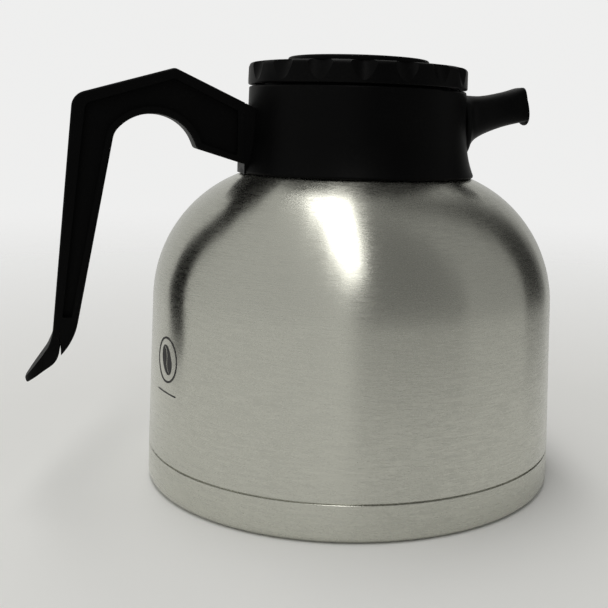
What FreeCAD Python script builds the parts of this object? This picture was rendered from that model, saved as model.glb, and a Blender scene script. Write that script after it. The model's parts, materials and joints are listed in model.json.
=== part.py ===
import FreeCAD, Part
import math
import os

# Low vacuum carafe for filter coffee, 1.9 litres, with a brew-through quarter-turn lid.
#
# Frame: millimetres, +Z up, origin at the centre of the standing ring on the floor. The spout
# points along +X, the handle hangs on the -X side, and the vessel and lid turn about Z.
# The rest pose is the lid turned to its pouring stop, where its lugs are clear and it lifts off.

V = FreeCAD.Vector
UP = V(0, 0, 1)
ORIGIN = V(0, 0, 0)

# Vessel
BODY_R = 85.0  # outer radius at the seam above the bottom cup
BODY_TOP_R = 84.0  # the side leans in by a millimetre up to the shoulder
SHEET = 0.7  # sheet steel
SEAM_Z = 14.3  # top of the bottom cup
SEAM_GAP = 0.7
SHOULDER_Z = 74.0  # where the side turns into the domed shoulder
SHOULDER_CENTRE_R = 28.5  # centre of the shoulder's arc
VACUUM_GAP = 5.7
NECK_R = 37.4
NECK_TOP_Z = 141.6
LINER_NECK_R = 34.8
LINER_BOTTOM_Z = 10.8
LINER_CORNER = 12.0
LINER_WELD_Z = 28.0  # the flask's drawn bottom is welded on here

# Collar, throat and spout
COLLAR_BOTTOM_Z = 125.45
COLLAR_TOP_Z = 161.9
COLLAR_FOOT_R = 49.9
COLLAR_TOP_R = 46.0
COLLAR_CAVITY_R = 42.9
THROAT_R = 36.0
INSERT_WALL_R = 39.4
INSERT_TOP_Z = 166.6
LEDGE_Z = 142.6  # the collar's inner ledge, which the throat insert holds down
PORT_HALF = 11.2  # half width of the pouring port
PORT_Z = (147.6, 158.4)

# Lid
LID_R = 46.4
LID_BOTTOM_Z = 162.7
LID_TOP_Z = 171.6
LID_WALL = 3.0
LID_PLATE = 2.2
RIM_R = 29.9  # the brew funnel's raised rim
RIM_TOP_Z = 174.7
PLATE_HOLE_R = 28.7
STOPPER_R = 35.4
STOPPER_BORE_R = 32.2
STOPPER_BOTTOM_Z = 143.4
SEAL_Z = (145.3, 161.5)  # the stopper's two rings
SEAL_WIRE_R = 1.1
SEAL_GROOVE_R = 33.6
BREW_HOLE_R = 5.5
BALL_R = 7.0
SCALLOPS = 17
SCALLOP_PHASE = 3.5
LUGS = 3
LUG_INSERT_ANGLE = 44.0  # width of a throat lug
LUG_LID_ANGLE = 26.0  # width of a lid lug
LID_TURN = 84.0  # from the pouring stop to locked
SCREW_CIRCLE_R = 23.0
SCREW_ANGLES = (60, 180, 300)

# Handle
HANDLE_W = 20.0
WEB_W = 14.0
HANDLE_SOFTNESS = 0.9  # fillet along its edges
HANDLE_FACE_X = -49.45
HANDLE_SCREW_Z = (136.5, 145.5)
TENON = (6.0, 131.5, 150.0)  # half width, bottom and top
TENON_END_X = -47.4
FIT = 0.1  # clearance between moulded pieces that only touch

SHOULDER_ARC = BODY_TOP_R - SHOULDER_CENTRE_R


# ---------------------------------------------------------------- helpers


def upright(point):
    """A point of an outline drawn in the XZ plane."""
    return V(point[0], 0, point[1])


def rounded(path):
    """Replaces each (x, z, radius) corner by its two tangent points and a ("arc", through, to) step."""
    made = []
    count = len(path)
    for i, step in enumerate(path):
        if step[0] == "arc" or len(step) == 2:
            made.append(step)
            continue
        before = path[i - 1]
        before = before[2] if before[0] == "arc" else before
        after = path[(i + 1) % count]
        corner = V(step[0], step[1], 0)
        back = V(before[0], before[1], 0) - corner
        ahead = V(after[0], after[1], 0) - corner
        back.normalize()
        ahead.normalize()
        half = back.getAngle(ahead) / 2
        reach = step[2] / math.tan(half)
        middle = (back + ahead).normalize()
        through = corner + middle * (step[2] / math.sin(half) - step[2])
        start, end = corner + back * reach, corner + ahead * reach
        made.append((start.x, start.y))
        made.append(("arc", (through.x, through.y), (end.x, end.y)))
    return made


def outline(path):
    """A closed wire in the XZ plane: straight steps, ("arc", through, to) steps, rounded corners."""
    steps = rounded(path)
    edges = []
    here = steps[0]
    for step in steps[1:] + [steps[0]]:
        if step[0] == "arc":
            through, to = step[1], step[2]
            edges.append(Part.Arc(upright(here), upright(through), upright(to)).toShape())
        else:
            to = step
            if (upright(to) - upright(here)).Length > 1e-6:
                edges.append(Part.LineSegment(upright(here), upright(to)).toShape())
        here = to
    return Part.Wire(edges)


def turned(path, angle=360):
    """Revolves an outline of (radius, height) points about Z."""
    return Part.Face(outline(path)).revolve(ORIGIN, UP, angle)


def slab(path, width):
    """Extrudes an XZ outline to width, centred on the XZ plane."""
    face = Part.Face(outline(path))
    face.translate(V(0, -width / 2, 0))
    return face.extrude(V(0, width, 0))


def block(x, y, z):
    """A box from its (low, high) pairs."""
    return Part.makeBox(x[1] - x[0], y[1] - y[0], z[1] - z[0], V(x[0], y[0], z[0]))


def pipe(inner, outer, z):
    """A plain ring between two radii and two heights."""
    ring = Part.makeCylinder(outer, z[1] - z[0], V(0, 0, z[0]))
    return ring.cut(Part.makeCylinder(inner, z[1] - z[0], V(0, 0, z[0])))


def sector(inner, outer, z, centre, width):
    """Part of a ring, width degrees wide about the direction centre."""
    path = [(inner, z[0]), (outer, z[0]), (outer, z[1]), (inner, z[1])]
    piece = turned(path, width)
    piece.rotate(ORIGIN, UP, centre - width / 2)
    return piece


def around(shape, angles):
    """Copies of a shape turned about Z."""
    copies = []
    for angle in angles:
        copy = shape.copy()
        copy.rotate(ORIGIN, UP, angle)
        copies.append(copy)
    return copies


def joined(shape, others):
    """One clean solid from a shape and a list of others."""
    return shape.multiFuse(others).removeSplitter()


def on_shoulder(arc, r):
    """Height at radius r of an arc about the shoulder's centre."""
    return SHOULDER_Z + math.sqrt(arc**2 - (r - SHOULDER_CENTRE_R) ** 2)


def shoulder_step(arc, r, inward=True):
    """The ("arc", through, to) step between the side and radius r, drawn towards the neck or back."""
    angle = math.acos((r - SHOULDER_CENTRE_R) / arc)
    through = (
        SHOULDER_CENTRE_R + arc * math.cos(angle / 2),
        SHOULDER_Z + arc * math.sin(angle / 2),
    )
    to = (r, on_shoulder(arc, r)) if inward else (SHOULDER_CENTRE_R + arc, SHOULDER_Z)
    return ("arc", through, to)


# ---------------------------------------------------------------- vessel


def neck_beads(radius, centres, bead=1.1, half=1.5):
    """Steps up a neck wall with rolled beads that stand out of it."""
    steps = []
    for z in centres:
        steps += [
            (radius, z - half),
            (radius + bead, z - half / 2),
            (radius + bead, z + half / 2),
            (radius, z + half),
        ]
    return steps


BEAD_Z = (133.6, 137.6)


def outer_shell():
    """The outer steel wall: side, domed shoulder and beaded neck."""
    top = NECK_TOP_Z - SHEET
    inner_arc = SHOULDER_ARC - SHEET
    neck_in = NECK_R - SHEET
    turn = NECK_R + 1.8  # where the shoulder meets the neck's root
    foot = on_shoulder(SHOULDER_ARC, turn)
    path = [
        (BODY_R, SEAM_Z + SEAM_GAP),
        (BODY_TOP_R, SHOULDER_Z),
        shoulder_step(SHOULDER_ARC, turn),
        (NECK_R, foot + 0.4, 0.8),
        *neck_beads(NECK_R, BEAD_Z),
        (NECK_R, top),
        (neck_in, top),
        *reversed(neck_beads(neck_in, BEAD_Z)),
        (neck_in, foot - SHEET + 0.4, 0.6),
        (turn, on_shoulder(inner_arc, turn)),
        shoulder_step(inner_arc, turn, inward=False),
        (BODY_R - SHEET, SEAM_Z + SEAM_GAP),
    ]
    return turned(path)


LINER_OUT_ARC = SHOULDER_ARC - SHEET - VACUUM_GAP
LINER_IN_ARC = LINER_OUT_ARC - SHEET
LINER_OUT_R = SHOULDER_CENTRE_R + LINER_OUT_ARC
LINER_IN_R = LINER_OUT_R - SHEET


def inner_liner():
    """The wall of the flask that holds the coffee, rolled over at the mouth to meet the neck."""
    turn = LINER_NECK_R + 1.6
    bore = LINER_NECK_R - SHEET
    foot = on_shoulder(LINER_OUT_ARC, turn) + 0.5
    path = [
        (LINER_OUT_R, LINER_WELD_Z),
        (LINER_OUT_R, SHOULDER_Z),
        shoulder_step(LINER_OUT_ARC, turn),
        (LINER_NECK_R, foot),
        (LINER_NECK_R, NECK_TOP_Z - SHEET),
        (NECK_R, NECK_TOP_Z - SHEET),
        (NECK_R, NECK_TOP_Z),
        (bore, NECK_TOP_Z, 0.5),
        (bore, foot - SHEET),
        (turn, on_shoulder(LINER_IN_ARC, turn)),
        shoulder_step(LINER_IN_ARC, turn, inward=False),
        (LINER_IN_R, LINER_WELD_Z),
    ]
    return turned(path)


def liner_bottom():
    """The drawn bottom of the flask, butt-welded to its wall."""
    path = [
        (0, LINER_BOTTOM_Z),
        (LINER_OUT_R, LINER_BOTTOM_Z, LINER_CORNER),
        (LINER_OUT_R, LINER_WELD_Z),
        (LINER_IN_R, LINER_WELD_Z),
        (LINER_IN_R, LINER_BOTTOM_Z + SHEET, LINER_CORNER - SHEET),
        (0, LINER_BOTTOM_Z + SHEET),
    ]
    return turned(path)


CUP_CORNER = 3.0
RECESS_Z = 3.0
SPIGOT_TOP_Z = 18.4


def bottom_cup():
    """The pressed steel base below the seam: a standing ring, a recess and a spigot inside the shell."""
    inner = BODY_R - SHEET
    spigot = inner - FIT
    path = [
        (0, RECESS_Z),
        (73.0, RECESS_Z),
        (75.5, 0, 1.0),
        (BODY_R, 0, CUP_CORNER),
        (BODY_R, SEAM_Z, 0.3),
        (spigot, SEAM_Z),
        (spigot, SPIGOT_TOP_Z),
        (spigot - SHEET, SPIGOT_TOP_Z),
        (spigot - SHEET, SEAM_Z - SHEET),
        (inner, SEAM_Z - SHEET - 0.8),
        (inner, SHEET, CUP_CORNER - SHEET),
        (75.9, SHEET),
        (73.4, RECESS_Z + SHEET),
        (0, RECESS_Z + SHEET),
    ]
    return turned(path)


PLATE_Z = 5.4
EVACUATION_R = 1.5


def vacuum_base():
    """The dished plate welded into the shell that closes the vacuum space, with its pump-out hole."""
    rim = BODY_R - SHEET - 0.35
    wall = 82.4
    path = [
        (EVACUATION_R, PLATE_Z),
        (wall - 5, PLATE_Z),
        (wall, PLATE_Z + 4),
        (wall, SPIGOT_TOP_Z + 0.3),
        (rim, SPIGOT_TOP_Z + 0.9),
        (rim, SPIGOT_TOP_Z + 5),
        (rim - SHEET, SPIGOT_TOP_Z + 5),
        (rim - SHEET, SPIGOT_TOP_Z + 0.9 + SHEET),
        (wall - SHEET, SPIGOT_TOP_Z + 0.3 + SHEET),
        (wall - SHEET, PLATE_Z + 4.3),
        (wall - 5.3, PLATE_Z + SHEET),
        (EVACUATION_R, PLATE_Z + SHEET),
    ]
    return turned(path)


def evacuation_seal():
    """The solder bead that seals the pump-out hole from below."""
    path = [
        (0, 4.3),
        (3.2, 4.3, 0.8),
        (4.0, PLATE_Z),
        (EVACUATION_R, PLATE_Z),
        (EVACUATION_R, 6.0),
        (0, 6.0),
    ]
    return turned(path)


def getter():
    """The gas-absorbing pellet in its holder on the plate inside the vacuum."""
    pellet = Part.makeCylinder(7.5, 1.8, V(28, 0, PLATE_Z + SHEET))
    return pellet.cut(Part.makeCylinder(5.0, 0.8, V(28, 0, PLATE_Z + SHEET + 1.0)))


# ---------------------------------------------------------------- spout


def spout_section(x, bottom, top, half, lean=0.0, power=2.8, points=20):
    """A closed smooth section of the spout: a squared oval across X whose plane leans by lean."""
    middle, tall = (bottom + top) / 2, (top - bottom) / 2
    ring = []
    for i in range(points):
        angle = 2 * math.pi * i / points
        c, s = math.cos(angle), math.sin(angle)
        y = half * math.copysign(abs(c) ** (2 / power), c)
        z = tall * math.copysign(abs(s) ** (2 / power), s)
        ring.append(V(x - lean * z, y, middle + z))
    curve = Part.BSplineCurve()
    curve.interpolate(Points=ring, PeriodicFlag=True)
    return Part.Wire([curve.toShape()])


MOUTH_LEAN = 0.17
LIP_SOFTNESS = 0.6


def spout_outside():
    """The beak, from a flared root inside the collar wall to its drip lip."""
    tube = Part.makeLoft(
        [
            spout_section(43.0, 132.0, 161.3, 19.0),
            spout_section(46.5, 136.3, 161.3, 16.4),
            spout_section(49.5, 140.4, 161.25, 14.0),
            spout_section(53.5, 143.2, 161.2, 12.3),
            spout_section(59.5, 145.8, 161.9, 10.0),
            spout_section(66.0, 148.2, 163.2, 8.4, lean=0.08),
            spout_section(72.0, 149.9, 164.7, 7.5, lean=0.15, power=3.8),
            spout_section(75.9, 150.7, 165.7, 7.2, lean=MOUTH_LEAN, power=5.0),
        ],
        True,
    )
    lip = Part.makeLoft(
        [
            spout_section(75.5, 149.3, 164.0, 6.6, lean=MOUTH_LEAN, power=2.2),
            spout_section(76.9, 148.5, 164.4, 6.9, lean=MOUTH_LEAN, power=2.2),
        ],
        True,
    )
    lip = lip.makeFillet(LIP_SOFTNESS, lip.Edges)
    return tube.fuse(lip)


def spout_inside():
    """The channel from the collar's cavity out through the mouth."""
    return Part.makeLoft(
        [
            spout_section(40.0, PORT_Z[0], PORT_Z[1], PORT_HALF - 0.4, power=4),
            spout_section(46.0, 147.7, 158.7, 10.6, power=3.6),
            spout_section(53.0, 148.2, 159.4, 9.6, power=3.2),
            spout_section(60.0, 149.2, 160.4, 8.0, power=3.0),
            spout_section(67.0, 151.0, 161.8, 6.7, lean=0.08),
            spout_section(75.9, 152.5, 163.6, 5.8, lean=MOUTH_LEAN),
            spout_section(79.5, 153.0, 164.2, 5.9, lean=MOUTH_LEAN),
        ],
        True,
    )


# ---------------------------------------------------------------- collar


def collar_shroud():
    """The moulded collar on the shoulder, with the spout and the pad that the handle sits on."""
    slope = 0.46  # of the underside, which clears the shoulder
    ring = [
        (COLLAR_FOOT_R, COLLAR_BOTTOM_Z, 0.8),
        (COLLAR_FOOT_R, COLLAR_BOTTOM_Z + 1.6),
        ("arc", (47.8, 133.6), (46.8, 141.5)),
        (46.3, 150.0),
        (COLLAR_TOP_R, COLLAR_TOP_Z, 0.8),
        (0, COLLAR_TOP_Z),
        (0, COLLAR_BOTTOM_Z + slope * COLLAR_FOOT_R),
    ]
    pad = [
        (-40.0, 149.7),
        (HANDLE_FACE_X + 0.05, 154.5, 0.4),
        (HANDLE_FACE_X + 0.05, COLLAR_BOTTOM_Z + 0.4),
        (-40.0, COLLAR_BOTTOM_Z + 0.4 + 10.2 * slope),
    ]
    cavity = [
        (0, 120.0),
        (COLLAR_CAVITY_R, 120.0),
        (COLLAR_CAVITY_R, 140.5),
        (41.6, 140.5),
        (41.6, LEDGE_Z),
        (COLLAR_CAVITY_R, LEDGE_Z),
        (COLLAR_CAVITY_R, COLLAR_TOP_Z - 1.7),
        (INSERT_WALL_R + FIT, COLLAR_TOP_Z - 1.7),
        (INSERT_WALL_R + FIT, COLLAR_TOP_Z + 1),
        (0, COLLAR_TOP_Z + 1),
    ]
    solid = joined(turned(ring), [slab(pad, HANDLE_W), spout_outside()])
    solid = solid.cut(turned(cavity)).cut(spout_inside())
    half, low, high = TENON
    deep = (HANDLE_FACE_X - 1, TENON_END_X + FIT)
    mortise = block(deep, (-half - FIT, half + FIT), (low - FIT, high + FIT))
    solid = solid.cut(mortise)
    for z in HANDLE_SCREW_Z:
        solid = solid.cut(handle_screw(z, clearance=0.06))
    return solid.removeSplitter()


def throat_insert():
    """The sleeve snapped over the neck beads: it clamps the collar and is the lid's throat."""
    skirt_r, root = 41.2, 37.7
    path = [
        (THROAT_R, LEDGE_Z + 0.05),
        (root, LEDGE_Z + 0.05),
        *reversed(neck_beads(root, BEAD_Z)),
        (root, 130.2, 0.5),
        (skirt_r, 130.2, 0.5),
        (skirt_r, LEDGE_Z + 0.05),
        (COLLAR_CAVITY_R - 0.2, LEDGE_Z + 0.05),
        (COLLAR_CAVITY_R - 0.2, LEDGE_Z + 2.0),
        (INSERT_WALL_R, LEDGE_Z + 2.0),
        (INSERT_WALL_R, INSERT_TOP_Z, 0.6),
        (THROAT_R, INSERT_TOP_Z, 0.8),
    ]
    duct = sector(INSERT_WALL_R - 0.5, COLLAR_CAVITY_R - 0.05, (LEDGE_Z + 1.0, 160.15), 0, 46)
    spacing = 360 / LUGS
    lug = sector(INSERT_WALL_R - 0.5, 43.0, (164.9, INSERT_TOP_Z), LOCKED_ANGLE, LUG_INSERT_ANGLE)
    stop_width = 8
    stop_centre = LOCKED_ANGLE - LUG_INSERT_ANGLE / 2 + stop_width / 2
    stop = sector(INSERT_WALL_R - 0.5, 43.0, (162.9, 164.95), stop_centre, stop_width)
    catches = []
    for piece in (lug, stop):
        catches += around(piece, [spacing * i for i in range(LUGS)])
    sleeve = joined(turned(path), [duct, *catches])
    port = block((30, 50), (-PORT_HALF, PORT_HALF), PORT_Z)
    return sleeve.cut(port)


LID_LUG_ANGLE = 90.0  # where the first lid lug stands at rest
LOCKED_ANGLE = LID_LUG_ANGLE - LID_TURN  # the middle of the throat lug that it locks under


def neck_gasket():
    """The flat ring between the steel mouth and the throat insert."""
    return pipe(LINER_NECK_R - 0.2, NECK_R, (NECK_TOP_Z + 0.02, LEDGE_Z + 0.02))


def shoulder_gasket():
    """The thin ring that the collar presses on to the shoulder."""
    inner, outer, lift = 44.6, 46.6, 0.05

    def underside(r):
        return COLLAR_BOTTOM_Z + (COLLAR_FOOT_R - r) * 0.46 - lift

    path = [
        (inner, on_shoulder(SHOULDER_ARC, inner) + lift),
        (outer, on_shoulder(SHOULDER_ARC, outer) + lift),
        (outer, underside(outer)),
        (inner, underside(inner)),
    ]
    return turned(path)


# ---------------------------------------------------------------- handle


def handle_screw(z, clearance=0.0):
    """A countersunk screw along X, driven outwards from inside the collar."""
    head_x, head_r, shank_r, socket_r = -43.25, 3.8, 2.0, 1.3
    out = V(-1, 0, 0)
    start = V(head_x, 0, z)
    head = Part.makeCone(head_r + clearance, shank_r + clearance, 2.1, start, out)
    shank = Part.makeCylinder(shank_r + clearance, 19.0 + clearance, start, out)
    screw = head.fuse(shank)
    if clearance:
        return screw.fuse(Part.makeCylinder(head_r + clearance, 1.3, V(-42.0, 0, z), out))
    turns = [math.pi / 3 * i for i in range(7)]
    hexagon = [V(head_x, socket_r * math.cos(a), z + socket_r * math.sin(a)) for a in turns]
    return screw.cut(Part.Face(Part.makePolygon(hexagon)).extrude(V(-1.4, 0, 0)))


NOTCH = [(-120.13, 54.88), (-119.4, 54.0), (-120.0, 66.0), (-120.0, 56.36)]  # tail from grip


def handle_outline():
    """The handle's side view, from the collar over the grip to the hooked tail and back under."""
    return [
        (HANDLE_FACE_X, 154.6),
        (-77.2, 167.4, 3.0),
        (-115.8, 155.6, 6.5),
        (-122.9, 58.7, 21.0),
        (-133.2, 44.2, 1.0),
        (-132.4, 42.5, 0.6),
        (-123.15, 49.75),
        ("arc", (-121.14, 52.11), NOTCH[0]),
        NOTCH[1],
        (-114.4, 59.7, 25.0),
        (-100.1, 141.6, 8.0),
        (-79.2, 162.5, 17.4),
        (-68.3, 135.6, 2.2),
        (HANDLE_FACE_X, 129.9),
    ]


def pocket_outline():
    """The recess in each side, between the thick back strap and the thinner front strap."""
    return [
        (-52.2, 151.3, 0.8),
        (-77.2, 163.1, 1.5),
        (-111.0, 152.3, 3.0),
        (-119.0, 69.0, 0.6),
        (-115.44, 69.0, 0.6),
        (-102.5, 142.9, 10.5),
        (-78.3, 167.1, 19.8),
        (-66.4, 137.8),
        (-52.2, 133.1, 0.8),
    ]


def tail_trim():
    """What is cut off the tail to leave it tapered and rounded in plan."""
    root_x, centre_x, root, end = -119.0, -126.0, HANDLE_W / 2, 7.2
    trim = block((-140, root_x), (-root - 1, root + 1), (30, 56.5))
    corners = [(root_x, -root), (root_x, root), (centre_x, end), (centre_x, -end)]
    taper = Part.Face(Part.makePolygon([V(x, y, 25) for x, y in corners + corners[:1]]))
    tongue = Part.makeCylinder(end, 40, V(centre_x, 0, 25)).fuse(taper.extrude(V(0, 0, 40)))
    return trim.cut(tongue)


def is_soft(edge):
    """True for the long edges of the handle's two sides."""
    box = edge.BoundBox
    on_side = abs(abs(edge.CenterOfMass.y) - HANDLE_W / 2) < 0.001
    return on_side and box.XLength > 0.01 and edge.Length > 1.2


def handle():
    """The I-section grip: a web between straps, open at the foot, with a tenon for the collar."""
    body = slab(handle_outline(), HANDLE_W)
    body = body.makeFillet(HANDLE_SOFTNESS, [e for e in body.Edges if is_soft(e)])
    body = body.cut(tail_trim()).cut(slab(NOTCH, HANDLE_W + 1))
    depth = (HANDLE_W - WEB_W) / 2
    for side in (-1, 1):
        pocket = slab(pocket_outline(), depth + 1)
        pocket.translate(V(0, side * (HANDLE_W / 2 - depth / 2 + 0.5), 0))
        body = body.cut(pocket)
    half, low, high = TENON
    body = body.fuse(block((HANDLE_FACE_X - 2, TENON_END_X), (-half, half), (low, high)))
    for z in HANDLE_SCREW_Z:
        body = body.cut(handle_screw(z, clearance=0.06))
    return body.removeSplitter()


# ---------------------------------------------------------------- lid


def scallop():
    """The cutter for one thumb scallop, deep at the lid's top and running out above its bottom edge."""
    radius, depth, run_out = 9.0, 2.0, 165.2
    foot = V(LID_R + radius + 0.02, 0, run_out)
    head = V(LID_R + radius - depth, 0, LID_TOP_Z)
    along = head - foot
    start = foot - along * 0.4
    return Part.makeCylinder(radius, along.Length * 1.8, start, along)


def lid_cap():
    """The scalloped ring and top plate, with three lugs that turn under the throat's lugs."""
    inner = LID_R - LID_WALL
    under = LID_TOP_Z - LID_PLATE
    path = [
        (inner, LID_BOTTOM_Z),
        (LID_R, LID_BOTTOM_Z, 0.5),
        (LID_R, LID_TOP_Z, 1.8),
        (34.0, LID_TOP_Z),
        (31.0, LID_TOP_Z - 0.5),
        (PLATE_HOLE_R, LID_TOP_Z - 0.5),
        (PLATE_HOLE_R, under),
        (inner, under),
    ]
    lug = sector(INSERT_WALL_R + 0.5, inner + 0.2, (163.1, 164.6), LID_LUG_ANGLE, LUG_LID_ANGLE)
    cap = joined(turned(path), around(lug, [360 / LUGS * i for i in range(LUGS)]))
    for cutter in around(scallop(), [SCALLOP_PHASE + 360 / SCALLOPS * i for i in range(SCALLOPS)]):
        cap = cap.cut(cutter)
    for hole in around(drive_key(0.1), KEY_ANGLES):
        cap = cap.cut(hole)
    return cap.fuse(pour_arrow()).removeSplitter()


def pour_arrow():
    """The raised pointer on the lid that faces the spout in the pouring position."""
    z = LID_TOP_Z - 0.3
    points = [V(42.6, 0, z), V(37.4, 2.6, z), V(38.6, 0, z), V(37.4, -2.6, z)]
    face = Part.Face(Part.makePolygon(points + points[:1]))
    return face.extrude(V(0, 0, 0.75))


KEY_ANGLES = (30, 150, 270)


def drive_key(clearance=0.0):
    """A nib on the stopper's flange that sits in a hole under the lid's plate and turns with it."""
    return Part.makeCylinder(1.6 + clearance, 1.2 + clearance, V(39.2, 0, LID_TOP_Z - LID_PLATE - 0.1))


def brew_funnel():
    """The bowl that the brewer drips into: raised rim, sloping floor, brew hole and valve seat."""
    path = [
        (BREW_HOLE_R, 163.8),
        (BREW_HOLE_R, 165.9),
        (8.0, 166.5),
        (26.9, 173.2),
        (27.7, RIM_TOP_Z, 0.5),
        (RIM_R, RIM_TOP_Z, 0.9),
        (RIM_R, LID_TOP_Z - 0.45),
        (PLATE_HOLE_R - FIT, LID_TOP_Z - 0.45),
        (PLATE_HOLE_R - FIT, 169.6),
        (22.9, 169.6),
        (8.8, 164.7),
        (8.2, 163.0),
        (6.3, 163.0),
    ]
    skirt = pipe(17.9, 20.1, (167.55, 169.2))
    boss = Part.makeCylinder(3.3, 4.2, V(SCREW_CIRCLE_R, 0, 166.55))
    funnel = joined(turned(path), [skirt, *around(boss, SCREW_ANGLES)])
    for hole in around(Part.makeCylinder(1.55, 4.2, V(SCREW_CIRCLE_R, 0, 166.0)), SCREW_ANGLES):
        funnel = funnel.cut(hole)
    return funnel


def funnel_gasket():
    """The flat ring between the funnel and the stopper's ledge."""
    return pipe(17.6, 19.6, (166.52, 167.52))


def seal_groove(z):
    """The ring-shaped cutter for one stopper groove."""
    return pipe(SEAL_GROOVE_R, STOPPER_R + 1, (z - 1.25, z + 1.25))


def stopper_body():
    """The turning sleeve under the lid: its window meets the spout's port in the pouring position."""
    flange_z = (167.6, LID_TOP_Z - LID_PLATE - 0.05)
    path = [
        (STOPPER_BORE_R, STOPPER_BOTTOM_Z),
        (STOPPER_R, STOPPER_BOTTOM_Z, 0.5),
        (STOPPER_R, flange_z[0]),
        (42.6, flange_z[0], 0.4),
        (42.6, flange_z[1]),
        (STOPPER_BORE_R - 1.2, flange_z[1]),
        (STOPPER_BORE_R - 1.2, 166.5),
        (17.0, 166.5),
        (17.0, 164.5),
        (STOPPER_BORE_R, 164.5),
    ]
    solid = joined(turned(path), around(drive_key(), KEY_ANGLES))
    for z in SEAL_Z:
        solid = solid.cut(seal_groove(z))
    solid = solid.cut(block((20, 50), (-11.8, 11.8), (147.7, 158.7)))
    for hole in around(Part.makeCylinder(1.6, 4, V(SCREW_CIRCLE_R, 0, 163.5)), SCREW_ANGLES):
        solid = solid.cut(hole)
    return solid


def seal_ring(z):
    """One of the stopper's rubber rings."""
    return Part.makeTorus(SEAL_GROOVE_R + 0.05 + SEAL_WIRE_R + 0.1, SEAL_WIRE_R, V(0, 0, z))


CAGE_Z = (STOPPER_BOTTOM_Z, 145.4)
CAGE_TOP_Z = 162.4
HUB_R = 9.6
HUB_HOLE_R = 4.5
SPOKES = 6
POSTS = 4


def valve_cage():
    """The grid in the stopper's foot and the posts that guide the float ball."""
    rim = pipe(28.8, STOPPER_BORE_R - FIT, CAGE_Z)
    hub = pipe(HUB_HOLE_R, HUB_R, CAGE_Z)
    spoke = block((HUB_R - 0.8, 29.3), (-1.2, 1.2), CAGE_Z)
    post = block((BALL_R + 0.4, 11), (-1.5, 1.5), (CAGE_Z[0] + 0.5, CAGE_TOP_Z - 0.5))
    post = post.common(Part.makeCylinder(HUB_R, 30, V(0, 0, 140)))
    top = pipe(BALL_R + 0.4, HUB_R, (CAGE_TOP_Z - 1.8, CAGE_TOP_Z))
    others = [
        rim,
        top,
        *around(spoke, [360 / SPOKES * i for i in range(SPOKES)]),
        *around(post, [45 + 360 / POSTS * i for i in range(POSTS)]),
    ]
    return joined(hub, others)


BALL_SIT = math.sqrt(BALL_R**2 - HUB_HOLE_R**2) + 0.1  # height of the ball's centre above the hub


def float_ball():
    """The ball that coffee lifts against the funnel's seat."""
    return Part.makeSphere(BALL_R, V(0, 0, CAGE_Z[1] + BALL_SIT))


def lid_screw(angle):
    """A cross-head screw pointing up, which holds funnel, cap and stopper together."""
    head = Part.makeCylinder(2.8, 1.7, V(SCREW_CIRCLE_R, 0, 162.75))
    head = head.makeFillet(0.6, [e for e in head.Edges if abs(e.CenterOfMass.z - 162.75) < 1e-6])
    shank = Part.makeCylinder(1.5, 5.4, V(SCREW_CIRCLE_R, 0, 164.4))
    slots = [
        block((SCREW_CIRCLE_R - 1.4, SCREW_CIRCLE_R + 1.4), (-0.3, 0.3), (162.0, 163.6)),
        block((SCREW_CIRCLE_R - 0.3, SCREW_CIRCLE_R + 0.3), (-1.4, 1.4), (162.0, 163.6)),
    ]
    screw = head.fuse(shank).cut(slots[0]).cut(slots[1])
    screw.rotate(ORIGIN, UP, angle)
    return screw


# ---------------------------------------------------------------- export

NODES = {
    "outer_shell": outer_shell,
    "inner_liner": inner_liner,
    "liner_bottom": liner_bottom,
    "bottom_cup": bottom_cup,
    "vacuum_base": vacuum_base,
    "evacuation_seal": evacuation_seal,
    "getter": getter,
    "collar_shroud": collar_shroud,
    "throat_insert": throat_insert,
    "neck_gasket": neck_gasket,
    "shoulder_gasket": shoulder_gasket,
    "handle": handle,
    "lid_cap": lid_cap,
    "brew_funnel": brew_funnel,
    "funnel_gasket": funnel_gasket,
    "stopper_body": stopper_body,
    "valve_cage": valve_cage,
    "float_ball": float_ball,
}


# Pieces that repeat: what to call them, how to make one, and the value that each one takes
REPEATED = {
    "handle_screw": (handle_screw, HANDLE_SCREW_Z),
    "seal_ring": (seal_ring, SEAL_Z),
    "lid_screw": (lid_screw, SCREW_ANGLES),
}


def save(name, shape):
    """Writes one node's STEP file and prints its size."""
    shape.exportStep(os.path.join("parts", name + ".step"))
    box = shape.BoundBox
    print(
        f"{name:16s} valid {shape.isValid()} solids {len(shape.Solids)} "
        f"volume {shape.Volume / 1000:.2f} cm3 x {box.XMin:.1f} to {box.XMax:.1f} "
        f"z {box.ZMin:.1f} to {box.ZMax:.1f}"
    )


def main():
    os.makedirs("parts", exist_ok=True)
    for name, make in NODES.items():
        save(name, make())
    for name, (make, values) in REPEATED.items():
        for number, value in enumerate(values, 1):
            save(f"{name}_{number}", make(value))


main()
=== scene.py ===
import json
import math

import bmesh
import bpy
from mathutils import Matrix, Vector


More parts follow.
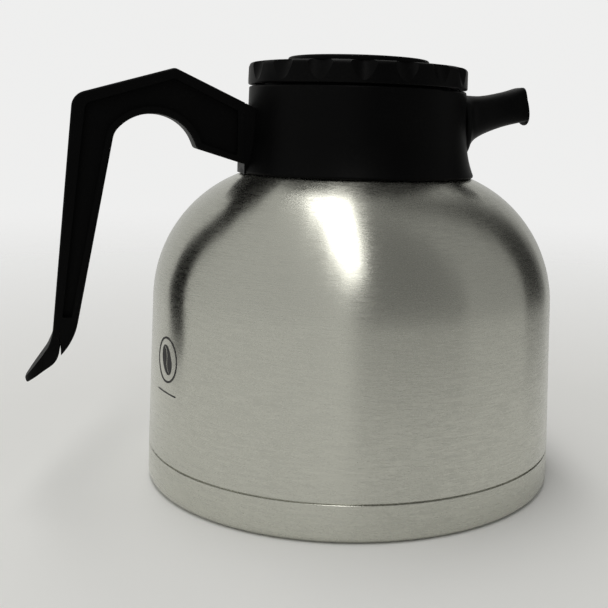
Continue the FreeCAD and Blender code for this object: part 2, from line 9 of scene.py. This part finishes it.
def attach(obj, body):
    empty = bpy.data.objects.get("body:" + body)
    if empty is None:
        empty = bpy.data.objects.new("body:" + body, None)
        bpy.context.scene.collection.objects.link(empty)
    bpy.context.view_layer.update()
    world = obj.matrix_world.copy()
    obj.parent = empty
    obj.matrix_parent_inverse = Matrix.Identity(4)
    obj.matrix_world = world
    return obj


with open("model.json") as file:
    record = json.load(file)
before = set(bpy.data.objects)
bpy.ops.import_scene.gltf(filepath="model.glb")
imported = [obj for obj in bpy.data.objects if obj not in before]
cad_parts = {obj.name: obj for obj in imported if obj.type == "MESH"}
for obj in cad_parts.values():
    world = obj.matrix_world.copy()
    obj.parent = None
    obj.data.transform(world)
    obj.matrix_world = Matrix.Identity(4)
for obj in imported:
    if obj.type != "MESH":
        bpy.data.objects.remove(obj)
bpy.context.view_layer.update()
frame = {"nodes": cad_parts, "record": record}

# A low vacuum carafe in satin brushed steel, with a black moulded collar, handle, spout and
# brew-through lid. Metres, +Z up, the spout along +X and the handle on the -X side.

# ---------------------------------------------------------------- camera

IMAGE_SIDE = 608
FOCAL_PX = 955.14
PRINCIPAL_PX = (377.0, 200.0)  # where the lens axis meets the picture, from its top left
CAMERA_DISTANCE = 0.40904
CAMERA_HEIGHT = 0.14542
OBJECT_YAW = math.radians(15)  # how far the camera stands round towards the handle
PITCH = 0.0739  # radians down
ROLL = 0.0286  # radians
PAN = 0.0229  # radians to the right of the object's axis
SENSOR_MM = 36.0
NEAREST, FARTHEST = 0.01, 100


def make_camera():
    """The camera at the photograph's viewing angle."""
    data = bpy.data.cameras.new("camera")
    data.sensor_width = SENSOR_MM
    data.lens = FOCAL_PX / IMAGE_SIDE * SENSOR_MM
    data.shift_x = (IMAGE_SIDE / 2 - PRINCIPAL_PX[0]) / IMAGE_SIDE
    data.shift_y = (PRINCIPAL_PX[1] - IMAGE_SIDE / 2) / IMAGE_SIDE
    data.clip_start = NEAREST
    data.clip_end = FARTHEST
    heading = PAN + OBJECT_YAW
    right = Vector((math.cos(heading), -math.sin(heading), 0))
    level = Vector((math.sin(heading), math.cos(heading), 0))
    ahead = level * math.cos(PITCH) + Vector((0, 0, -math.sin(PITCH)))
    above = right.cross(ahead)
    across = right * math.cos(ROLL) + above * math.sin(ROLL)
    upright = above * math.cos(ROLL) - right * math.sin(ROLL)
    axes = Matrix((across, upright, -ahead)).transposed().to_4x4()
    place = Vector(
        (
            -CAMERA_DISTANCE * math.sin(OBJECT_YAW),
            -CAMERA_DISTANCE * math.cos(OBJECT_YAW),
            CAMERA_HEIGHT,
        )
    )
    camera = bpy.data.objects.new("camera", data)
    camera.matrix_world = Matrix.Translation(place) @ axes
    bpy.context.scene.collection.objects.link(camera)
    bpy.context.scene.camera = camera


make_camera()
bpy.context.scene.view_settings.view_transform = "Standard"


# ---------------------------------------------------------------- shader helpers


class Shader:
    """A material's node tree, built through short calls."""

    def __init__(self, name):
        self.material = bpy.data.materials.new(name)
        self.material.use_nodes = True
        self.nodes = self.material.node_tree.nodes
        self.links = self.material.node_tree.links
        self.surface = self.nodes["Principled BSDF"]
        self.place = self.nodes.new("ShaderNodeTexCoord").outputs["Object"]

    def join(self, source, target):
        self.links.new(source, target)

    def math(self, operation, a, b=0.0):
        """A Math node on two sockets or numbers."""
        node = self.nodes.new("ShaderNodeMath")
        node.operation = operation
        for socket, value in zip(node.inputs, (a, b)):
            if isinstance(value, (int, float)):
                socket.default_value = value
            else:
                self.join(value, socket)
        return node.outputs[0]

    def noise(self, vector, scale, detail=3.0, rough=0.55):
        """Noise from 0 to 1 at scale per metre."""
        node = self.nodes.new("ShaderNodeTexNoise")
        node.inputs["Scale"].default_value = scale
        node.inputs["Detail"].default_value = detail
        node.inputs["Roughness"].default_value = rough
        self.join(vector, node.inputs["Vector"])
        return node.outputs["Fac"]

    def band(self, value, low, high, to_low, to_high):
        """value from low..high mapped to to_low..to_high, held at the ends."""
        node = self.nodes.new("ShaderNodeMapRange")
        node.inputs["From Min"].default_value = low
        node.inputs["From Max"].default_value = high
        node.inputs["To Min"].default_value = to_low
        node.inputs["To Max"].default_value = to_high
        self.join(value, node.inputs["Value"])
        return node.outputs["Result"]

    def mix(self, amount, first, second):
        """A colour between two, by a socket from 0 to 1."""
        node = self.nodes.new("ShaderNodeMix")
        node.data_type = "RGBA"
        self.join(amount, node.inputs["Factor"])
        for name, value in (("A", first), ("B", second)):
            socket = [s for s in node.inputs if s.name == name and s.type == "RGBA"][0]
            if isinstance(value, tuple):
                socket.default_value = (*value, 1.0)
            else:
                self.join(value, socket)
        return [s for s in node.outputs if s.type == "RGBA"][0]

    def bump(self, height, distance, under=None):
        """A bump of that many metres, over another if given."""
        node = self.nodes.new("ShaderNodeBump")
        node.inputs["Distance"].default_value = distance
        node.inputs["Strength"].default_value = 1.0
        self.join(height, node.inputs["Height"])
        if under is not None:
            self.join(under, node.inputs["Normal"])
        return node.outputs["Normal"]

    def around_axis(self, around, along):
        """Coordinates that follow the brushing: slow round Z, fine along it, with no seam."""
        parts = self.nodes.new("ShaderNodeSeparateXYZ")
        self.join(self.place, parts.inputs[0])
        x, y, z = parts.outputs
        squares = self.math("ADD", self.math("MULTIPLY", x, x), self.math("MULTIPLY", y, y))
        radius = self.math("SQRT", self.math("ADD", squares, 1e-8))
        spread = self.math("DIVIDE", around, radius)
        made = self.nodes.new("ShaderNodeCombineXYZ")
        self.join(self.math("MULTIPLY", x, spread), made.inputs[0])
        self.join(self.math("MULTIPLY", y, spread), made.inputs[1])
        self.join(self.math("MULTIPLY", z, along), made.inputs[2])
        return made.outputs[0]


# ---------------------------------------------------------------- materials

BRUSHING_DEPTH = 0.00002
GRAIN_DEPTH = 0.000006
POLISH_DEPTH = 0.00002
ACROSS_AXIS = 0.25  # turns the sheen by a quarter, as the grooves run round the axis


def brushed_steel(name, colour, dark, roughness, anisotropy):
    """Sheet steel brushed round the axis: long fine lines, a grain and slow changes of tone."""
    s = Shader(name)
    hairs = s.noise(s.around_axis(1.0, 95.0), 30.0, 3.0, 0.65)
    lines_long = s.noise(s.around_axis(1.0, 150.0), 8.0, 3.0, 0.6)
    grain = s.noise(s.place, 2400.0, 2.0, 0.6)
    cloud = s.noise(s.place, 22.0, 2.0, 0.5)
    streaks = s.math("ADD", s.math("MULTIPLY", hairs, 0.55), s.math("MULTIPLY", lines_long, 0.45))
    mottled = s.math("ADD", s.math("MULTIPLY", streaks, 0.7), s.math("MULTIPLY", grain, 0.3))
    tone = s.band(mottled, 0.36, 0.64, 0.0, 1.0)
    s.join(s.mix(tone, dark, colour), s.surface.inputs["Base Color"])
    rough = s.band(streaks, 0.35, 0.65, roughness + 0.06, roughness - 0.05)
    rough = s.math("ADD", rough, s.band(cloud, 0.3, 0.7, -0.01, 0.015))
    s.join(rough, s.surface.inputs["Roughness"])
    s.surface.inputs["Metallic"].default_value = 1.0
    s.surface.inputs["Anisotropic"].default_value = anisotropy
    s.surface.inputs["Anisotropic Rotation"].default_value = ACROSS_AXIS
    tangent = s.nodes.new("ShaderNodeTangent")
    tangent.direction_type = "RADIAL"
    tangent.axis = "Z"
    s.join(tangent.outputs[0], s.surface.inputs["Tangent"])
    normal = s.bump(streaks, BRUSHING_DEPTH)
    normal = s.bump(grain, GRAIN_DEPTH, under=normal)
    s.join(normal, s.surface.inputs["Normal"])
    return s.material


BLACK_SPECULAR = 0.06


def moulded_black(name, colour, pale, roughness, texture=0.00002, scale=2200.0):
    """Black moulded plastic: a fine eroded texture, slow changes of sheen, pale handling marks."""
    s = Shader(name)
    pits = s.noise(s.place, scale, 2.0, 0.6)
    cloud = s.noise(s.place, 45.0, 3.0, 0.6)
    dust = s.noise(s.place, 900.0, 4.0, 0.7)
    worn = s.band(cloud, 0.45, 0.75, 0.0, 1.0)
    specks = s.band(dust, 0.5, 0.72, 0.0, 1.0)
    rubbed = s.math("MULTIPLY", worn, specks)
    s.join(s.mix(rubbed, colour, pale), s.surface.inputs["Base Color"])
    rough = s.band(cloud, 0.3, 0.7, roughness - 0.04, roughness + 0.05)
    s.join(s.math("ADD", rough, s.band(pits, 0.3, 0.7, -0.03, 0.03)), s.surface.inputs["Roughness"])
    s.surface.inputs["Specular IOR Level"].default_value = BLACK_SPECULAR
    s.join(s.bump(pits, texture), s.surface.inputs["Normal"])
    return s.material


def plain_metal(name, colour, roughness):
    """A small metal part with a mottled, slightly rough surface."""
    s = Shader(name)
    mottle = s.noise(s.place, 1500.0, 3.0, 0.6)
    pale = tuple(min(1.0, c * 1.25) for c in colour)
    s.join(s.mix(mottle, colour, pale), s.surface.inputs["Base Color"])
    rough = s.band(mottle, 0.3, 0.7, roughness - 0.06, roughness + 0.08)
    s.join(rough, s.surface.inputs["Roughness"])
    s.surface.inputs["Metallic"].default_value = 1.0
    s.join(s.bump(mottle, POLISH_DEPTH), s.surface.inputs["Normal"])
    return s.material


def silicone(name):
    """Dull dark silicone with a powdery bloom."""
    s = Shader(name)
    bloom = s.noise(s.place, 600.0, 4.0, 0.65)
    tone = s.mix(bloom, (0.030, 0.030, 0.032), (0.06, 0.06, 0.063))
    s.join(tone, s.surface.inputs["Base Color"])
    s.join(s.band(bloom, 0.3, 0.7, 0.55, 0.75), s.surface.inputs["Roughness"])
    s.join(s.bump(bloom, POLISH_DEPTH), s.surface.inputs["Normal"])
    return s.material


def natural_plastic(name):
    """Milky polypropylene."""
    s = Shader(name)
    cloud = s.noise(s.place, 300.0, 3.0, 0.6)
    tone = s.mix(cloud, (0.66, 0.65, 0.60), (0.78, 0.77, 0.73))
    s.join(tone, s.surface.inputs["Base Color"])
    s.join(s.band(cloud, 0.3, 0.7, 0.32, 0.45), s.surface.inputs["Roughness"])
    s.surface.inputs["Subsurface Weight"].default_value = 0.15
    s.surface.inputs["Subsurface Radius"].default_value = (0.002, 0.002, 0.0015)
    s.join(s.bump(cloud, POLISH_DEPTH), s.surface.inputs["Normal"])
    return s.material


STEEL = (0.62, 0.62, 0.555)
STEEL_DARK = (0.545, 0.545, 0.49)
LINER = (0.60, 0.60, 0.58)
LINER_DARK = (0.50, 0.50, 0.49)
BLACK = (0.0017, 0.0017, 0.0018)
BLACK_WORN = (0.006, 0.006, 0.006)
PRINT = (0.05, 0.05, 0.05)
PRINT_WORN = (0.14, 0.14, 0.135)

FINISHES = {
    "satin_steel": brushed_steel("satin_steel", STEEL, STEEL_DARK, 0.26, 0.85),
    "liner_steel": brushed_steel("liner_steel", LINER, LINER_DARK, 0.30, 0.6),
    "solder": plain_metal("solder", (0.42, 0.42, 0.43), 0.5),
    "getter_alloy": plain_metal("getter_alloy", (0.24, 0.24, 0.25), 0.6),
    "screw_steel": plain_metal("screw_steel", (0.52, 0.52, 0.53), 0.3),
    "black_collar": moulded_black("black_collar", BLACK, BLACK_WORN, 0.40),
    "black_insert": moulded_black("black_insert", BLACK, BLACK_WORN, 0.42),
    "black_handle": moulded_black("black_handle", BLACK, BLACK_WORN, 0.46, 0.00003, 1800.0),
    "black_lid": moulded_black("black_lid", BLACK, BLACK_WORN, 0.38),
    "black_funnel": moulded_black("black_funnel", BLACK, BLACK_WORN, 0.42),
    "black_stopper": moulded_black("black_stopper", BLACK, BLACK_WORN, 0.44),
    "silicone": silicone("silicone"),
    "float_plastic": natural_plastic("float_plastic"),
    "print": moulded_black("print", PRINT, PRINT_WORN, 0.5),
}


def finish_cad_nodes():
    """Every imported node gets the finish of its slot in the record."""
    slots = {part["node"]: part["material_slot"] for part in frame["record"]["subparts"]}
    for name, obj in frame["nodes"].items():
        obj.data.materials.clear()
        obj.data.materials.append(FINISHES[slots[name]])


finish_cad_nodes()


# ---------------------------------------------------------------- floor and light

FLOOR_SIDE = 12.0
FLOOR_FADE = (0.18, 1.3)  # metres from the object, over which the floor melts into the backdrop


def make_floor():
    """A plain pale floor."""
    mesh = bpy.data.meshes.new("floor")
    half = FLOOR_SIDE / 2
    corners = [(-half, -half, 0), (half, -half, 0), (half, half, 0), (-half, half, 0)]
    mesh.from_pydata(corners, [], [(0, 1, 2, 3)])
    floor = bpy.data.objects.new("floor", mesh)
    bpy.context.scene.collection.objects.link(floor)
    s = Shader("floor")
    tone = s.noise(s.place, 3.0)
    s.join(s.mix(tone, (0.87, 0.87, 0.86), (0.91, 0.91, 0.90)), s.surface.inputs["Base Color"])
    s.surface.inputs["Roughness"].default_value = 0.9
    s.surface.inputs["Specular IOR Level"].default_value = 0.1
    parts = s.nodes.new("ShaderNodeSeparateXYZ")
    s.join(s.place, parts.inputs[0])
    x, y, _ = parts.outputs
    squares = s.math("ADD", s.math("MULTIPLY", x, x), s.math("MULTIPLY", y, y))
    fade = s.band(s.math("SQRT", squares), *FLOOR_FADE, 1.0, 0.0)
    s.join(s.math("MULTIPLY", fade, fade), s.surface.inputs["Alpha"])
    mesh.materials.append(s.material)


# brightness of the studio's walls by heading, in degrees round from the camera
WALLS = [
    (-180, 0.60),
    (-150, 0.54),
    (-120, 0.52),
    (-60, 0.54),
    (-4, 0.53),
    (7, 0.20),
    (30, 0.20),
    (60, 0.22),
    (70, 0.34),
    (110, 0.34),
    (117, 0.03),
    (134, 0.03),
    (150, 0.42),
    (180, 0.60),
]
BACKGROUND = (0.86, 0.86, 0.855)


def make_room():
    """Soft walls whose brightness changes slowly around the object, pale behind it."""
    world = bpy.data.worlds.new("studio")
    bpy.context.scene.world = world
    world.use_nodes = True
    nodes, links = world.node_tree.nodes, world.node_tree.links
    nodes.clear()
    place = nodes.new("ShaderNodeTexCoord")
    turn = nodes.new("ShaderNodeMapping")
    # the gradient's seam is behind the object, and headings run clockwise from the camera
    turn.inputs["Rotation"].default_value = (0, 0, math.radians(90) + OBJECT_YAW)
    links.new(place.outputs["Generated"], turn.inputs["Vector"])
    sweep = nodes.new("ShaderNodeTexGradient")
    sweep.gradient_type = "RADIAL"
    links.new(turn.outputs[0], sweep.inputs["Vector"])
    ramp = nodes.new("ShaderNodeValToRGB")
    ramp.color_ramp.interpolation = "EASE"
    elements = ramp.color_ramp.elements
    while len(elements) > 1:
        elements.remove(elements[-1])
    for i, (heading, level) in enumerate(WALLS):
        where = (heading + 180) / 360
        element = elements[0] if i == 0 else elements.new(where)
        element.position = where
        element.color = (level, level, level * 0.97, 1)
    links.new(sweep.outputs["Fac"], ramp.inputs["Fac"])
    room = nodes.new("ShaderNodeBackground")
    links.new(ramp.outputs["Color"], room.inputs["Color"])
    seen = nodes.new("ShaderNodeBackground")
    seen.inputs["Color"].default_value = (*BACKGROUND, 1)
    ray = nodes.new("ShaderNodeLightPath")
    mix = nodes.new("ShaderNodeMixShader")
    links.new(ray.outputs["Is Camera Ray"], mix.inputs[0])
    links.new(room.outputs[0], mix.inputs[1])
    links.new(seen.outputs[0], mix.inputs[2])
    out = nodes.new("ShaderNodeOutputWorld")
    links.new(mix.outputs[0], out.inputs["Surface"])


CEILING = 2.5
TUBE_WIDTH = 0.6
TUBE_LENGTH = 5.4
TUBE_MIDDLE = (-0.25, -0.9)  # a little left of the object, and on the camera's side of it
TUBE_SKEW = math.radians(6.5)  # its near end turned to the right
TUBE_WATTS = 36
TUBE_COLOUR = (1.0, 0.99, 0.97)


def make_ceiling_light():
    """One long soft ceiling light that runs from behind the camera to behind the object."""
    data = bpy.data.lights.new("ceiling_light", "AREA")
    data.shape = "RECTANGLE"
    data.size = TUBE_WIDTH
    data.size_y = TUBE_LENGTH
    data.energy = TUBE_WATTS
    data.color = TUBE_COLOUR
    light = bpy.data.objects.new("ceiling_light", data)
    turn = Matrix.Rotation(-OBJECT_YAW, 4, "Z")
    middle = Vector((*TUBE_MIDDLE, CEILING))
    skew = Matrix.Rotation(TUBE_SKEW, 4, "Z")
    light.matrix_world = turn @ Matrix.Translation(middle) @ skew
    bpy.context.scene.collection.objects.link(light)


# ---------------------------------------------------------------- the printed mark

MARK_TURN = math.radians(-162)  # its place round the body
MARK_Z = 0.0548
MARK_LIFT = 0.00006
SEAM_R, SEAM_HEIGHT = 0.085, 0.015  # the body's side, which leans in towards the shoulder
SHOULDER_R, SHOULDER_HEIGHT = 0.084, 0.074
RING_OUTER, RING_INNER = 0.0089, 0.0081
BEAN_HALF_WIDTH, BEAN_HALF_LENGTH = 0.0040, 0.0060
BEAN_TILT = math.radians(28)
CREASE_GAP, CREASE_BEND = 0.00055, 0.0011
RULE_HALF_LENGTH, RULE_DROP, RULE_WIDTH = 0.0085, 0.0125, 0.0005
RING_STEPS = 72
STEPS = 24  # along a half of the bean, and along the rule


def on_side(across, up):
    """The point of the body's side that far across and up from the mark's middle."""
    z = MARK_Z + up
    share = (z - SEAM_HEIGHT) / (SHOULDER_HEIGHT - SEAM_HEIGHT)
    radius = SEAM_R + (SHOULDER_R - SEAM_R) * share + MARK_LIFT
    angle = MARK_TURN + across / SEAM_R
    return (radius * math.cos(angle), radius * math.sin(angle), z)


def strip_between(mesh, first, second):
    """A band of quads between two rows of (across, up) points."""
    rows = [[mesh.verts.new(on_side(*point)) for point in row] for row in (first, second)]
    for i in range(len(first) - 1):
        mesh.faces.new((rows[0][i], rows[0][i + 1], rows[1][i + 1], rows[1][i]))


def tilted(x, y, tilt):
    """A point turned about the mark's middle."""
    return (
        x * math.cos(tilt) - y * math.sin(tilt),
        x * math.sin(tilt) + y * math.cos(tilt),
    )


def ring_points(radius_x, radius_y, steps, tilt=0.0, start=0.0, sweep=2 * math.pi):
    """Points of an ellipse about the mark's middle."""
    angles = [start + sweep * i / steps for i in range(steps + 1)]
    return [tilted(radius_x * math.cos(a), radius_y * math.sin(a), tilt) for a in angles]


def crease_points(side):
    """One side of the bean's S-shaped crease, from tip to tip; side is 1 or -1."""
    points = []
    for i in range(STEPS + 1):
        t = -1 + 2 * i / STEPS
        along = BEAN_HALF_LENGTH * t * side
        bend = CREASE_BEND * math.sin(math.pi * along / BEAN_HALF_LENGTH)
        off = CREASE_GAP * side * (1 - t * t) ** 0.5
        points.append(tilted(bend + off, along, BEAN_TILT))
    return points


def make_mark():
    """A generic printed mark: a ring round a coffee bean, and a plain rule below it."""
    mesh = bmesh.new()
    outer = ring_points(RING_OUTER, RING_OUTER, RING_STEPS)
    strip_between(mesh, outer, ring_points(RING_INNER, RING_INNER, RING_STEPS))
    for start, side in ((-math.pi / 2, 1), (math.pi / 2, -1)):
        size = (BEAN_HALF_WIDTH, BEAN_HALF_LENGTH)
        rim = ring_points(*size, STEPS, BEAN_TILT, start, math.pi)
        strip_between(mesh, rim, crease_points(side))
    span = [-RULE_HALF_LENGTH + 2 * RULE_HALF_LENGTH * i / STEPS for i in range(STEPS + 1)]
    rule = [(x, -RULE_DROP) for x in span]
    strip_between(mesh, rule, [(x, y - RULE_WIDTH) for x, y in rule])
    bmesh.ops.recalc_face_normals(mesh, faces=mesh.faces)
    data = bpy.data.meshes.new("printed_mark")
    mesh.to_mesh(data)
    mesh.free()
    data.materials.append(FINISHES["print"])
    mark = bpy.data.objects.new("printed_mark", data)
    bpy.context.scene.collection.objects.link(mark)
    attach(mark, "vessel")


make_mark()
make_floor()
make_room()
make_ceiling_light()
